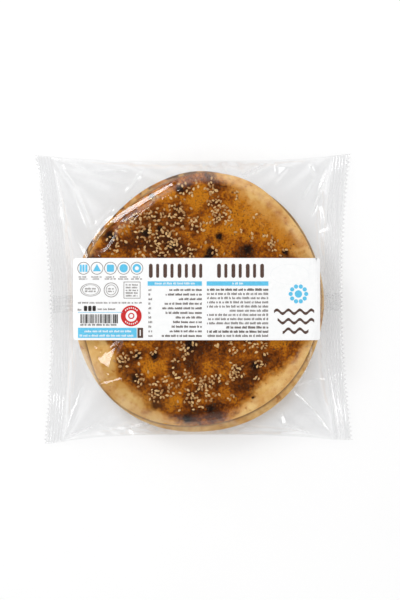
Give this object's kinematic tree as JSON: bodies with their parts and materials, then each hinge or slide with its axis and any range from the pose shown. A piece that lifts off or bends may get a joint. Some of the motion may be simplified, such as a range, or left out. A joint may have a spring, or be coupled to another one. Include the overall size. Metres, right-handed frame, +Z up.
{
  "type": "zaatar pita pack",
  "caption": "Large round zaatar pitas stacked in a sealed clear flow-wrap bag with crimped, serrated ends and a wide label across the middle; it lies flat.",
  "frame": {"origin": "middle of the bag's footprint, on the surface that it lies on", "axes": "+X from the left end seal to the right one, +Y across the bag towards the long fold at the top of the label, +Z up, out of the labelled side"},
  "size_m": [0.2236, 0.2038, 0.0263],
  "materials": {
    "film": "glossy clear film over browned bread",
    "label": "smooth",
    "crust": "baked, lightly oiled",
    "seed": "satin",
    "herb": "matte",
    "print": "printed ink"
  },
  "bodies": {
    "root": {"bag": "film", "label": "label"}
  },
  "joints": []
}
